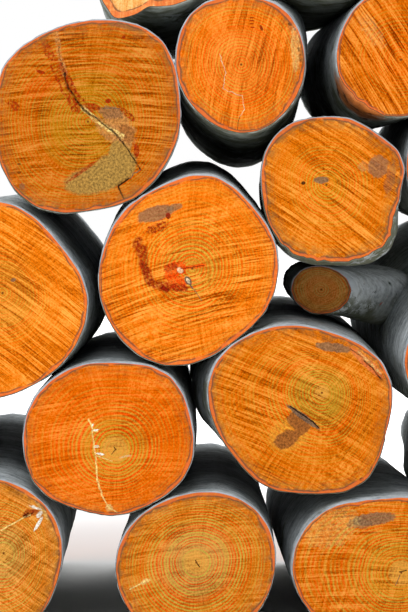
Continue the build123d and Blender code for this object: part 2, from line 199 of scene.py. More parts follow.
LOGS = [
    Log("row_1_left_end_log", saw_angle=20),
    Log("row_1_notched_log", (-343, 161.5), rim_share=0.85, tone=(204, 118, 26), heart=(178, 125, 52),
        core=16, saw_angle=-30, saw_share=0.5, ring_share=0.8, cross_share=0.4,
        stains=[("blood", 46, 69, 16, 6, 14, 0.5, 0.95, 0.4), ("fibre", 66, 76, 24, 4, -58, 0.6, 0.7, 0.4),
        ("splinter", 60, 51, 15, 2.8, 59, 0.35, 1), ("splinter", 54, 78, 10, 2.6, -18, 0.9, 0.95),
        ("splinter", 62, 67, 7, 3.6, 50, 0.9, 0.95), ("dark", 38, 66, 7, 1.6, 30, 0.6, 0.8)],
        cracks=[("fibre", ((-4, 39), (16, 51), (34, 61), (46, 66)), 2.2, 2),
        ("dark", ((36, 62), (50, 70)), 1.8, 5, 0.4, 3)]),
    Log("row_1_middle_log", (-13, 146), rim_share=0.95, tone=(197, 109, 15), heart=(186, 135, 65),
        heart_reach=66, saw_angle=8, saw_share=0.4, ring_share=1, cross_share=0.15, ring=5.2, core=21,
        stains=[("fibre", -88, -33, 9, 4, 25, 0.6, 0.8, 0.4), ("brown", -118, 56, 10, 5, 20, 0.5, 0.4)],
        cracks=[("fibre", ((-114, -46), (-88, -33)), 2, 1.5), ("dark", ((-2, 4), (6, -8)), 1.6, 2)]),
    Log("row_1_broad_log", (338, 127.5), rim_share=0, tone=(201, 103, 7), heart=(195, 126, 24),
        heart_reach=80, core=22, saw_angle=-4, saw_share=0.55, ring_share=0.9, cross_share=0.3, ring=5.6,
        stains=[("grey", -50, 92, 40, 11, 7, 0.3, 0.85), ("grey", -72, 84, 22, 9, 0, 0.4, 0.6),
        ("blood", -88, 84, 8, 4, 30, 0.6, 0.8, 0.4), ("sawdust", -120, 78, 50, 34, 28, 0.6, 0.3, 0.7),
        ("blood", -52, 69, 18, 2, 0, 0.4, 0.5, 0.6), ("dark", -47, 124, 3, 2.5)],
        cracks=[("dark", ((-3, 2), (8, 4)), 2), ("smoke", ((-2, -4), (-10, -22)), 1.2, 1)],
        shelf=((60, 0), (80, 0), (112, 5), (150, 0)), shelf_depth=18),
    Log("row_1_right_end_log", saw_angle=-15),
    Log("row_2_left_end_log", saw_angle=30),
    Log("row_2_ringed_log", (-151, 340), rim_share=0.5, tone=(212, 98, 2), heart=(180, 131, 25),
        heart_reach=52, saw_angle=6, saw_share=0.4, ring_share=1, cross_share=0.1, saw_side=(-4, 0),
        ring=6.6, core=23,
        stains=[("splinter", -34, 33, 7, 1.5, 12, 0.9, 0.95), ("splinter", -40, 40, 4, 1.6, 60, 0.9, 0.9),
        ("splinter", -33, 5, 4, 2, 0, 0.9, 0.95), ("splinter", -26, -8, 7, 2, -14, 0.8, 0.95),
        ("fibre", -11, -100, 7, 6, 60, 0.9, 0.7, 0.4), ("pale", 18, -12, 9, 2, 12, 0.9, 0.5, 0.4)],
        cracks=[("fibre", ((-46, 51), (-39, 32), (-36, 5), (-34, -17), (-31, -53), (-24, -78), (-12, -99)),
        2.6, 5, 0.35),
        ("fibre", ((-39, 32), (-30, 30)), 1.4), ("fibre", ((-36, 6), (-28, 4)), 1.6),
        ("fibre", ((-34, -10), (-22, -14), (-6, -20)), 1.3), ("dark", ((-3, 5), (0, 0), (-6, -8)), 1.4, 2),
        ("fibre", ((-12, -99), (2, -108), (24, -112)), 1.4)]),
    Log("row_2_knotty_log", (201, 437), rim_share=0.8, tone=(203, 104, 4), heart=(170, 127, 30),
        heart_reach=54, saw_angle=-26, saw_share=0.65, ring_share=0.85, cross_share=0.3, saw_side=(-3, 2),
        ring=5, core=13, moss=0.5,
        stains=[("halo", -56, -72, 36, 28, 20, 0.15, 0.5), ("brown", -61, -80, 23, 15, 28, 0.25, 0.95),
        ("brown", -40, -48, 20, 15, -25, 0.35, 0.95), ("brown", -34, -62, 18, 10, 40, 0.3, 0.9),
        ("grey", 20, 77, 33, 8, -8, 0.4, 0.85), ("dark", -45, 110, 3, 2.5), ("dark", 68, -148, 4, 3, 30),
        ("tear", 76, 52, 42, 8, -43, 0.4, 0.7), ("fibre", 82, 50, 32, 3, -45, 0.5, 0.7, 0.9),
        ("smoke", -31, -42, 34, 5, -37, 0.3, 0.9)],
        cracks=[("dark", ((-54, -24), (-33, -37), (-15, -50), (-5, -60)), 2.2, 2, 0, 4),
        ("dark", ((72, 54), (87, 40), (102, 22)), 2.4, 4, 0.4, 5),
        ("dark", ((48, 76), (70, 60)), 1.6, 4, 0.5)]),
    Log("row_2_right_end_log", saw_angle=12),
    Log("row_3_broad_log", (-343, 607), rim_share=0.15, tone=(220, 113, 9), heart=(197, 119, 28),
        heart_reach=70, saw_angle=-34, saw_share=0.9, cross_share=0.2, saw_side=(0, -1.5), ring_share=0.45,
        lichen=0.9,
        stains=[("smoke", 18, 22, 5, 3, 20, 0.5, 0.7)]),
    Log("row_3_stained_log", (-20, 649), rim_share=0.3, tone=(222, 112, 9), heart=(192, 127, 32),
        heart_reach=58, saw_angle=14, saw_share=0.85, ring_share=0.95, cross_share=0.2, saw_side=(0, -5),
        ring=6.3,
        stains=[("grey", -62, 93, 34, 13, 16, 0.2, 0.8), ("grey", -30, 104, 14, 6, 14, 0.3, 0.7),
        ("blood", -41, 89, 4.5, 5, 0, 0.4, 0.9), ("blood", -60, 69, 22, 8, 22, 0.6, 0.9, 0.75),
        ("scarlet", -30, -2, 20, 14, 20, 0.7, 0.85, 0.3),
        ("scarlet", -28, -24, 20, 14, -15, 0.7, 0.85, 0.3), ("scarlet", 4, 3, 22, 4, 8, 0.5, 0.7),
        ("blood", -36, 2, 13, 7, 15, 0.6, 0.7, 0.6), ("blood", -22, -33, 17, 7, -8, 0.5, 0.85, 0.6),
        ("pale", -21, -3, 6, 4.5, -40, 0.4, 0.75), ("smoke", -7, -21, 9, 5.5, -60, 0.15, 0.9),
        ("pale", -7, -21, 5.5, 2.6, -60, 0.15, 0.9)],
        cracks=[("blood", ((-92, 46), (-88, 30), (-83, 12), (-79, 0)), 17, 9, 0.5),
        ("blood", ((-80, 2), (-73, -17), (-64, -27), (-44, -33)), 16, 8, 0.5),
        ("blood", ((-50, -33), (-42, -36)), 7, 5), ("blood", ((-19, 0), (20, 5)), 1.6, 2),
        ("grey", ((-1, -30), (16, -55)), 1.2, 1), ("smoke", ((-4, -27), (0, -34)), 2.2, 1)]),
    Log("row_3_forked_log", saw_angle=-12, lichen=0.7,
        marks=[("paint", ((333, 296, 592), (319, 286, 576), (312, 298, 557), (315, 331, 542)), 4.5),
        ("eye_rim", ((332, 304, 611), (344, 304, 616)), 11, 5),
        ("eye", ((336, 304, 613), (341, 304, 615)), 5)]),
    Log("row_4_split_log", (-197, 898), tone=(182, 90, 2), heart=(169, 110, 9), rim_share=0.9,
        heart_reach=84, saw_angle=1, saw_share=0.7, ring_share=0.7, cross_share=0.1, saw_side=(1, 3),
        ring=5.6,
        stains=[("scarlet", -76, 60, 34, 18, 15, 0.5, 0.25, 0.4), ("ochre", 12, -98, 55, 24, 12, 0.2, 0.95),
        ("ochre", 38, -84, 42, 28, 30, 0.2, 0.95), ("ochre", 54, -50, 36, 18, 68, 0.2, 0.95),
        ("ochre", 66, -76, 26, 15, 70, 0.2, 0.95), ("tan", 56, -10, 34, 20, -56, 0.5, 0.75),
        ("smoke", 62, 164, 40, 7, -12, 0.5, 0.5), ("tan", 34, -14, 30, 14, -38, 0.5, 0.8, 0.4),
        ("striped", 38, 15, 22, 11, -6, 0.5, 0.85), ("brown", 66, -20, 17, 12, -52, 0.5, 0.7),
        ("resin", 6, 24, 15, 7, -4, 0.5, 0.95, 0.4), ("resin", 34, 35, 5, 4, 0, 0.5, 0.95),
        ("resin", 66, 14, 20, 5, -42, 0.5, 0.95, 0.8), ("resin", 82, -49, 5, 12, 0, 0.5, 0.95, 0.4),
        ("resin", -21, 25, 7, 12, 20, 0.5, 0.95, 0.8), ("resin", -32, 62, 9, 46, 24, 0.5, 0.95, 0.8),
        ("resin", -66, 118, 8, 20, 30, 0.5, 0.9, 0.8), ("resin", -80, 84, 8, 3, -20, 0.5, 0.9),
        ("resin", -126, 27, 11, 8, -30, 0.5, 0.9, 0.8), ("dark", -117, -72, 3.5, 2, 0, 0.5, 0.6),
        ("dark", -117, -86, 3.5, 2, 0, 0.5, 0.6), ("resin", 61, 143, 3, 3),
        ("smoke", -112, -110, 5, 6, 0, 0.5, 0.5), ("resin", -10, -84, 34, 3, 36, 0.5, 0.8, 0.4)],
        cracks=[("tan", ((-56, 158), (-48, 120), (-38, 80)), 8, 6, 0.8),
        ("fibre", ((-9, 24), (12, 3), (58, -26)), 8, 6, 0.8),
        ("resin", ((-46, 100), (-24, 54), (-6, 33)), 4, 6, 0.8),
        ("resin", ((-62, 96), (-42, 48), (-24, 20)), 5, 6, 0.8), ("smoke", ((26, 23), (54, 22)), 1.4),
        ("dark", ((-50, 130), (-39, 82)), 1.4, 6, 0.8),
        ("dark", ((-39, 82), (-34, 59), (-20, 36), (-6, 19), (19, 1)), 3.6, 6, 0.4, 6),
        ("dark", ((19, 1), (42, -15), (74, -55), (89, -81)), 2.6, 6, 0.4, 5),
        ("smoke", ((89, -81), (68, -97)), 1.6, 6),
        ("dark", ((68, -97), (51, -110), (60, -130)), 3, 3, 0, 6)]),
    Log("row_4_mossy_log", (208, 791), rim_share=0.95, tone=(206, 106, 5), heart=(200, 118, 10),
        heart_reach=40, saw_angle=-34, saw_share=0.8, cross_share=0.15, ring_share=0.7, saw_side=(1, -1.5),
        moss=0.9, lichen=0.5,
        stains=[("grey", -8, 8, 14, 6, 0, 0.4, 0.9), ("dark", -39, 3, 3.5, 3, 0, 0.3, 0.9),
        ("grey", 88, 31, 18, 19, 0, 0.3, 0.7), ("tan", 63, 30, 9, 9, 40, 0.6, 0.7, 0.5),
        ("smoke", 92, 84, 52, 9, -42, 0.5, 0.55), ("smoke", 108, 10, 8, 30, -10, 0.6, 0.35),
        ("dark", -70, -100, 6, 3, -35), ("brown", -66, 92, 40, 8, 40, 0.6, 0.45)],
        cracks=[("dark", ((-76, -94), (-62, -106), (-40, -118)), 1.8, 2)],
        shelf=((205, 0), (225, 4), (247, 9), (270, 5), (292, 9), (315, 15), (333, 12), (352, 0)),
        shelf_depth=46),
    Log("row_4_right_end_log", saw_angle=24, lichen=0.8),
    Log("row_5_butt_log", (63, 994.5), rim_share=0.8, tone=(213, 103, 6), heart=(209, 102, 20),
        heart_reach=70, saw_angle=78, saw_share=0.5, cross_share=0.1, ring_share=0.65, saw_side=(2, 0),
        ring=5, moss=0.3,
        stains=[("blood", 34, 62, 2.5, 5.5, 20), ("cavity", 86, 62, 8, 6, 0, 0.5, 0.7),
        ("dark", 84, 69, 5, 3, 0, 0.5), ("splinter", 92, 61, 3, 2.6, 0, 0.3, 1), ("blood", 18, 79, 4, 1),
        ("blood", 18, 74, 4, 1), ("blood", 18, 69, 4, 1), ("blood", 19, 63, 4, 1),
        ("fibre", 92, 30, 8, 44, 0, 0.5, 0.5, 0.4), ("dark", 103, 0, 2.5, 40, 12, 0.8, 0.7, 0.9)],
        cracks=[("pale", ((-36, 20), (-27, -13), (-31, -39), (-14, -49), (3, -52), (4, -75), (-2, -88)),
        1.1, 6, 0.5),
        ("dark", ((-2, -88), (-7, -112)), 1.2, 3, 0.3)]),
    Log("row_5_scarred_log", (334, 1003), rim_share=0.2, tone=(202, 98, 2), heart=(211, 99, 3),
        heart_reach=50, saw_angle=-58, saw_share=0.95, cross_share=0.1, ring_share=0.5, lichen=1, band=5,
        shelf=((200, 0), (215, 4), (232, 8), (247, 4), (258, 0)), shelf_depth=16,
        stains=[("fibre", -50, 50, 36, 14, -58, 0.6, 0.2, 0.8)],
        cracks=[("splinter", ((-88, -62), (-76, -78), (-58, -92)), 1.6, 2, 0.3)],
        marks=[("cavity", ((244, 60, 940), (256, 60, 926), (270, 60, 915)), 84, 20),
        ("cavity", ((230, 10, 957), (246, 10, 936), (262, 10, 920), (284, 10, 907)), 40, 10),
        ("dark", ((236, 30, 948), (246, 60, 936), (262, 50, 920), (286, 20, 904)), 9, 14, 0.35),
        ("dark", ((226, 70, 962), (236, 110, 950), (256, 118, 926), (280, 100, 908)), 10, 12, 0.3)]),
    Log("row_6_torn_log", saw_angle=82, tone=(232, 158, 82), heart=(232, 158, 82), ring_share=0.1,
        saw_share=0.7, band=11),
    Log("row_6_slender_log", saw_angle=-10),
]
LIMB_LOOK = Log("row_3_forked_log", (209.5, 606), tone=(188, 110, 36), heart=(198, 124, 52),
    heart_reach=40, ring=3.8, saw_angle=30, saw_share=0.25, band=3.5)

# Colours of stains and cracks, in 0 to 255
KINDS = {
    "ochre": (156, 120, 58), "tan": (182, 124, 68), "striped": (138, 94, 58), "brown": (142, 84, 38),
    "grey": (124, 94, 68), "smoke": (104, 84, 68), "blood": (130, 26, 10), "scarlet": (222, 62, 8),
    "resin": (146, 38, 8), "dark": (36, 20, 12), "pale": (206, 186, 150), "halo": (224, 150, 50),
    "sawdust": (246, 196, 110), "fibre": (248, 196, 120), "splinter": (255, 232, 204),
    "tear": (214, 110, 62), "cavity": (186, 104, 44), "eye": (48, 52, 50), "eye_rim": (140, 150, 148),
    "paint": (206, 66, 34),
}

# How the colour of a face strays from its tone in its rings, and in its saw marks, blotches and grain
RING_PALE = (-16, 50, 46)
RING_DEEP = (14, -34, -10)
SAW_PALE = (28, 48, 58)
SAW_DEEP = (-84, -58, -26)

# The layers at the rim
BAND = (216, 102, 52)
BAND_LINE = (104, 70, 52)
RIM_MOTTLE = (136, 92, 46)
# The outermost edge is painted light: a painted highlight where it faces up, painted shade where it faces
# down
EDGE_PAINTED_HIGHLIGHT = (150, 158, 166)
EDGE_PAINTED_SHADE = (70, 58, 48)

# The pith and the even wood round it
PITH = (112, 62, 24)
CORE = (206, 150, 62)


def linear(colour):
    """Linear colour from an sRGB one in 0 to 255."""
    values = [min(max(c, 0), 255) / 255 for c in colour]
    return [v / 12.92 if v <= 0.04045 else ((v + 0.055) / 1.055) ** 2.4 for v in values] + [1.0]


def strayed(colour, step):
    """Linear colour of an sRGB one that strays by a step."""
    return linear([c + s for c, s in zip(colour, step)])


# Shapes

# Large odd numbers that scatter the values of the noise
HASH = np.array([374761393, 668265263, 2246822519, 1274126177])


def value_noise(points, scale, seed):
    """Smooth noise from -1 to 1 at an (n, 3) array of points, with features of about this scale."""
    place = points / scale
    cell = np.floor(place).astype(np.int64)
    part = place - cell
    part = part * part * (3 - 2 * part)
    total = np.zeros(len(points))
    for corner in product((0, 1), repeat=3):
        c = cell + np.array(corner)
        mixed = (c @ HASH[:3] + seed * HASH[3]) & 0xFFFFFFFF
        mixed = ((mixed ^ (mixed >> 13)) * HASH[3]) & 0xFFFFFFFF
        mixed = mixed ^ (mixed >> 16)
        weight = np.prod(np.where(np.array(corner) == 1, part, 1 - part), axis=1)
        total += weight * (mixed & 0xFFFFF) / 0xFFFFF
    return total * 2 - 1


def smooth_round(values, passes=2):
    """Smooth a closed run of values along its last axis."""
    for _ in range(passes):
        values = 0.25 * np.roll(values, 1, -1) + 0.5 * values + 0.25 * np.roll(values, -1, -1)
    return values


def node_points(name):
    """Corners of a CAD node in millimetres."""
    return np.array([v.co for v in frame["nodes"][name].data.vertices]) / MM


def level_centre(points, y):
    """Middle of the corners at one station."""
    level = np.unique(points[np.abs(points[:, 1] - y) < 0.05].round(2), axis=0)
    return level[:, [0, 2]].mean(axis=0)


def node_tree(name):
    """A tree of the CAD node's faces, for finding its surface from inside."""
    mesh = frame["nodes"][name].data
    corners = [v.co / MM for v in mesh.vertices]
    return BVHTree.FromPolygons(corners, [tuple(p.vertices) for p in mesh.polygons])


def radii_at(tree, middle, y, angles):
    """Distance from the middle to the node's surface in each direction at station y."""
    start = Vector((middle[0], y, middle[1]))
    return np.array([tree.ray_cast(start, Vector((cos(a), 0, sin(a))))[3] for a in angles])


@dataclass
class Trunk:
    """Stations of a log, and the points across and up of its outline at each."""

    stations: np.ndarray
    outlines: np.ndarray
    angles: np.ndarray


def trunk_of(name):
    """Read a trunk's outlines off its CAD node."""
    points = node_points(name)
    tree = node_tree(name)
    first, last = points[:, 1].min(), points[:, 1].max()
    near, far = level_centre(points, first), level_centre(points, last)
    share = np.linspace(0, 1, ALONG) ** STATION_CROWDING
    stations = first + (last - first) * share
    middles = near + (far - near) * share[:, None]
    angles = np.linspace(0, 2 * pi, AROUND, endpoint=False)
    inside = np.clip(stations, first + 0.5, last - 0.5)
    radii = np.array([radii_at(tree, middle, y, angles) for y, middle in zip(inside, middles)])
    if name == LIMB_LOOK.node:
        turn = np.degrees(angles)
        hidden = (turn > LIMB_SECTOR[0]) & (turn < LIMB_SECTOR[1])
        girth = np.median((radii / radii[0])[:, ~hidden], axis=1)
        radii[:, hidden] = girth[:, None] * radii[0, hidden]
    radii = smooth_round(radii)[:, :, None]
    directions = np.column_stack((np.cos(angles), np.sin(angles)))
    return Trunk(stations, middles[:, None, :] + radii * directions, angles)


def limb_of(trunk):
    """Read the limb's sawn end off the CAD node and run its collar back into the trunk."""
    front = trunk.stations[0] + LIMB_SET_BACK
    centre = np.array([LIMB_CENTRE[0] + MIDDLE[0], LIMB_CENTRE[1] + MIDDLE[2]])
    angles = trunk.angles
    face = smooth_round(radii_at(node_tree(LIMB_LOOK.node), centre, front + 0.5, angles), 3)
    depths = np.linspace(0, COLLAR_DEPTHS[-1], ALONG // 2)
    widening = np.interp(depths, COLLAR_DEPTHS, COLLAR_WIDENING)[:, None]
    thickening = np.interp(depths, COLLAR_DEPTHS, COLLAR_THICKENING)[:, None]
    to_trunk = np.maximum(np.cos(angles), 0)
    across = face * np.cos(angles) * (1 + widening * (to_trunk > 0))
    up = face * np.sin(angles) * (1 + thickening * to_trunk ** 2 * (np.sin(angles) < 0))
    return Trunk(front + depths, centre + np.stack((across, up), axis=2), angles)


class Shell:
    """Points, faces, material numbers and map coordinates of a mesh under way."""

    def __init__(self):
        self.points = []
        self.faces = []
        self.slots = []
        self.maps = []
        self.count = 0

    def add(self, points, faces, slot, corners, flip):
        """Add points and faces, with the map coordinates of each face's corners."""
        step = -1 if flip else 1
        self.points.append(points)
        self.faces.extend(faces[:, ::step].tolist())
        self.slots.extend([slot] * len(faces))
        self.maps.append(corners[:, ::step].reshape(-1, 4))
        self.count += len(points)

    def grid(self, points, maps, slot, flip=False):
        """Add a grid of points that closes on itself along its second axis."""
        rows, around = points.shape[:2]
        i, j = np.indices((rows - 1, around)).reshape(2, -1)
        row = np.stack((i, i, i + 1, i + 1), axis=1)
        column = np.stack((j, j + 1, j + 1, j), axis=1)
        faces = self.count + row * around + column % around
        self.add(points.reshape(-1, 3), faces, slot, maps[row, column], flip)

    def fan(self, centre, maps, slot, flip):
        """Close the middle of a face with triangles from the ring added last."""
        around = len(maps) - 1
        j = np.arange(around)
        start = self.count - around
        faces = np.stack((start + j, start + (j + 1) % around, np.full(around, self.count)), axis=1)
        middle = np.tile((0, 0, 0, maps[0, 3]), (around, 1))
        self.add(np.array([centre]), faces, slot, np.stack((maps[:-1], maps[1:], middle), axis=1), flip)


def crack_depth(look, place):
    """How deep the cracks of a face cut at each place from its pith."""
    depth = np.zeros(len(place))
    for crack in look.cracks:
        if not crack.depth:
            continue
        points = np.array(crack.points, float)
        near = np.full(len(place), np.inf)
        for a, b in zip(points, points[1:]):
            along = b - a
            t = np.clip(((place - a) @ along) / (along @ along), 0, 1)
            near = np.minimum(near, np.hypot(*(place - a - t[:, None] * along).T))
        depth = np.maximum(depth, crack.depth * np.clip(1 - near / (crack.width * 1.2), 0, 1))
    return depth


def outward(trunk):
    """Directions out from a log's middle, across and up."""
    return np.column_stack((np.cos(trunk.angles), np.sin(trunk.angles)))


def closed(values):
    """Repeat the first column after the last, for a map that closes."""
    return np.concatenate((values, values[:, :1]), axis=1)


def stand_back(trunk, look):
    """Draw the outlines near the sawn face in where the bark stands back from it."""
    if not look.shelf:
        return
    directions, widths = np.array(look.shelf, float).T
    width = np.interp(np.degrees(trunk.angles), directions, widths, left=0, right=0)
    ragged = 1 + 0.35 * value_noise(np.column_stack((trunk.outlines[0], 0 * width)), 11, 5)
    for number, y in enumerate(trunk.stations):
        fade = 1 - (y - trunk.stations[0]) / look.shelf_depth
        if fade > 0:
            trunk.outlines[number] -= (width * ragged * fade)[:, None] * outward(trunk)


def add_face(shell, trunk, look, at_back, slot, seed, settings):
    """Add one sawn face from its rim to its pith."""
    number = -1 if at_back else 0
    inward = -1 if at_back else 1
    rim = trunk.outlines[number] + (settings.bark_swell - settings.rim_chamfer) / MM * outward(trunk)
    if look.pith and not at_back:
        pith = np.array([look.pith[0] + MIDDLE[0], look.pith[1] + MIDDLE[2]])
    else:
        pith = rim.mean(axis=0) + BACK_PITH
    spread = rim - pith
    reach = np.hypot(*spread.T)
    rings = BACK_RINGS if at_back else FRONT_RINGS
    turn = radians(look.saw_angle)
    points, maps = [], []
    for s in 1 - np.linspace(0, LAST_RING, rings) ** RING_CROWDING:
        spot = s * spread
        flat = np.column_stack((pith + spot, np.zeros(AROUND)))
        relief = settings.saw_waviness / MM * value_noise(flat, 30, seed)
        across_saw = -flat[:, 0] * sin(turn) + flat[:, 1] * cos(turn)
        stripes = np.column_stack((across_saw, flat[:, 0] * 0.06, flat[:, 1] * 0.06))
        relief += settings.saw_depth / MM * value_noise(stripes, 4.5, seed + 1)
        if not at_back:
            relief += crack_depth(look, spot)
        if s == 1:
            relief = np.full(AROUND, 0.2)
        y = trunk.stations[number] + inward * np.maximum(relief, 0)
        points.append(np.column_stack((flat[:, 0], y, flat[:, 1])))
        # rings are round about the pith and follow the outline towards the rim
        ring = s * ((1 - s) * reach + s * reach.mean())
        maps.append(np.column_stack((spot, ring, (1 - s) * reach)) * MM)
    maps = closed(np.array(maps))
    shell.grid(np.array(points), maps, slot, flip=at_back)
    shell.fan((pith[0], trunk.stations[number], pith[1]), maps[-1], slot, flip=at_back)


def add_bark(shell, trunk, slot, seed, settings):
    """Add the barked side, lumpy and a little rough, with an edge at both ends chamfered and chipped by
    wear.
    """
    along = len(trunk.stations)
    chamfer = settings.rim_chamfer / MM
    stations = np.repeat(trunk.stations[:, None], AROUND, axis=1)
    points = np.dstack((trunk.outlines[:, :, 0], stations, trunk.outlines[:, :, 1]))
    flat = points.reshape(-1, 3)
    lumps = settings.bark_lumps / MM * value_noise(flat * (1, 0.5, 1), 70, seed)
    rough = value_noise(flat, 16, seed + 1) + 0.6 * value_noise(flat, 7, seed + 2)
    rough *= settings.bark_roughness / MM
    move = (lumps + rough).reshape(along, AROUND) + settings.bark_swell / MM
    chips = np.maximum(value_noise(points[0] * (1, 0, 1), 9, seed + 3), 0) * settings.rim_chips / MM
    for end, inner in ((0, 1), (-1, -2)):
        move[end] = settings.bark_swell / MM - chamfer
        move[inner] = settings.bark_swell / MM - chips
        points[inner, :, 1] = trunk.stations[end] + (1 if end == 0 else -1) * chamfer
    points[:, :, [0, 2]] += move[:, :, None] * outward(trunk)
    length = np.append(0, np.cumsum(np.hypot(*np.diff(trunk.outlines[0], axis=0).T)))
    arc = np.append(length, length[-1] + np.hypot(*(trunk.outlines[0, 0] - trunk.outlines[0, -1])))
    from_front = closed(points[:, :, 1]) - trunk.stations[0]
    from_end = np.minimum(from_front, trunk.stations[-1] - trunk.stations[0] - from_front)
    up = closed(np.repeat(np.sin(trunk.angles)[None], along, axis=0))
    around = np.repeat(arc[None], along, axis=0)
    shell.grid(points, np.dstack((around * MM, from_front * MM, up, from_end * MM)), slot)


def add_object(name, data):
    """Add an object to the scene."""
    thing = bpy.data.objects.new(name, data)
    bpy.context.scene.collection.objects.link(thing)
    return thing


def make_piece(name, shell, materials):
    """Turn a shell into a mesh object, its bark welded to its faces along sharp rims."""
    mesh = bpy.data.meshes.new(name)
    mesh.from_pydata((np.concatenate(shell.points) * MM).tolist(), [], shell.faces)
    for material in materials:
        mesh.materials.append(material)
    mesh.polygons.foreach_set("material_index", shell.slots)
    maps = np.concatenate(shell.maps).astype(np.float32)
    for layer, values in (("place", maps[:, :2]), ("depth", maps[:, 2:])):
        uv = mesh.uv_layers.new(name=layer)
        uv.data.foreach_set("uv", values.ravel())
    mesh.polygons.foreach_set("use_smooth", [True] * len(mesh.polygons))
    work = bmesh.new()
    work.from_mesh(mesh)
    bmesh.ops.remove_doubles(work, verts=work.verts, dist=WELD)
    for edge in work.edges:
        if len({face.material_index for face in edge.link_faces}) > 1:
            edge.smooth = False
    work.to_mesh(mesh)
    work.free()
    return add_object(name, mesh)


# Surfaces


class Maker:
    """Adds nodes to one node tree and joins them."""

    def __init__(self, tree):
        self.tree = tree
        self.kinds = {}

    def put(self, socket, value):
        if isinstance(value, bpy.types.NodeSocket):
            self.tree.links.new(value, socket)
        else:
            socket.default_value = value

    def fill(self, node, values):
        for key, value in values.items():
            self.put(node.inputs[key], value)

    def node(self, kind, values=(), **settings):
        node = self.tree.nodes.new("ShaderNode" + kind)
        for key, value in settings.items():
            setattr(node, key, value)
        self.fill(node, dict(values))
        return node

    def maths(self, operation, *values, clamp=False):
        return self.node("Math", dict(enumerate(values)), operation=operation, use_clamp=clamp).outputs[0]

    def times(self, *values):
        return reduce(partial(self.maths, "MULTIPLY"), values)

    def plus(self, *values):
        return reduce(partial(self.maths, "ADD"), values)

    def vector(self, operation, *values):
        node = self.node("VectorMath", dict(enumerate(values)), operation=operation)
        return node.outputs["Value"] if operation in ("LENGTH", "DOT_PRODUCT") else node.outputs[0]

    def scaled(self, vector, factor):
        return self.node("VectorMath", {"Vector": vector, "Scale": factor}, operation="SCALE").outputs[0]

    def combine(self, x=0, y=0, z=0):
        return self.node("CombineXYZ", {"X": x, "Y": y, "Z": z}).outputs[0]

    def split(self, vector):
        return self.node("SeparateXYZ", {0: vector}).outputs

    def map(self, name):
        return self.node("UVMap", uv_map=name).outputs[0]

    def noise(self, place, scale, detail=2, rough=0.5, seed=0):
        values = {"Vector": place, "Scale": scale, "Detail": detail, "Roughness": rough, "W": seed}
        return self.node("TexNoise", values, noise_dimensions="4D").outputs[0]

    def ramp(self, value, low, high, to_low=0, to_high=1):
        values = {"Value": value, "From Min": low, "From Max": high, "To Min": to_low, "To Max": to_high}
        return self.node("MapRange", values, interpolation_type="SMOOTHSTEP").outputs[0]

    def mix(self, share, first, second):
        return self.node("Mix", {0: share, 6: first, 7: second}, data_type="RGBA").outputs[2]

    def swing(self, value, colour, low, high):
        """Move a colour towards one below zero and towards another above it."""
        colour = self.mix(self.maths("MULTIPLY", value, 1, clamp=True), colour, high)
        return self.mix(self.maths("MULTIPLY", value, -1, clamp=True), colour, low)

    def turned(self, place, angle):
        values = {"Vector": place, "Angle": self.times(angle, -1)}
        return self.node("VectorRotate", values, rotation_type="Z_AXIS").outputs[0]

    def group(self, build, **values):
        """Use a node group, which its builder makes the first time it is asked for."""
        tree = bpy.data.node_groups.get(build.__name__.replace("_", " ")) or build()
        values = {key.replace("_", " "): value for key, value in values.items()}
        return self.node("Group", values, node_tree=tree).outputs

    def hand_out(self, **values):
        """Give a node group its named outputs."""
        for label in values:
            self.tree.interface.new_socket(name=label, in_out="OUTPUT", socket_type="NodeSocketFloat")
        way_out = self.tree.nodes.new("NodeGroupOutput")
        for label, value in values.items():
            self.put(way_out.inputs[label], value)
        return self.tree


def new_group(name, **defaults):
    """A node group with named inputs: its maker and those inputs."""
    tree = bpy.data.node_groups.new(name, "ShaderNodeTree")
    for label, value in defaults.items():
        kind = "NodeSocketVector" if isinstance(value, tuple) else "NodeSocketFloat"
        socket = tree.interface.new_socket(name=label.replace("_", " "), in_out="INPUT", socket_type=kind)
        socket.default_value = value
    return Maker(tree), tree.nodes.new("NodeGroupInput").outputs[:len(defaults)]


def growth_rings():
    """Rings round the pith, from -1 in the dark late wood to 1 in the pale early wood."""
    m, (ring, place, spacing, wobble, seed) = new_group(
        "growth rings", Ring=0.0, Place=ORIGIN, Spacing=0.006, Wobble=0.006, Seed=0.0,
    )
    slow = m.noise(place, 16, seed=seed)
    quick = m.noise(place, 110, 2, 0.6, seed)
    distance = m.plus(ring, m.times(m.plus(slow, -0.5), wobble), m.times(m.plus(quick, -0.5), wobble, 0.22))
    uneven = m.noise(m.combine(distance, seed), 50, 1, seed=3)
    turns = m.maths("DIVIDE", m.plus(distance, m.times(uneven, 0.008)), spacing)
    wave = m.maths("SINE", m.times(turns, 2 * pi))
    strength = m.ramp(m.noise(m.combine(turns, seed), 0.9, 1, seed=1), 0.3, 0.62, 0.45)
    patch = m.ramp(m.noise(place, 26, seed=m.plus(seed, 7)), 0.32, 0.58, 0.3)
    off_pith = m.ramp(ring, 0.001, 0.004)
    band = m.noise(m.combine(distance, seed), 70, 2, 0.6, 5)
    x, y, _ = m.split(place)
    spoke = m.combine(m.times(m.maths("ARCTAN2", y, x), 26), m.times(ring, 22))
    ray = m.noise(spoke, 1, 2, 0.6, seed)
    return m.hand_out(
        Wave=m.times(wave, strength, patch, off_pith), Band=m.ramp(band, 0.32, 0.68, -1),
        Ray=m.times(m.ramp(ray, 0.36, 0.64, -1), off_pith),
    )


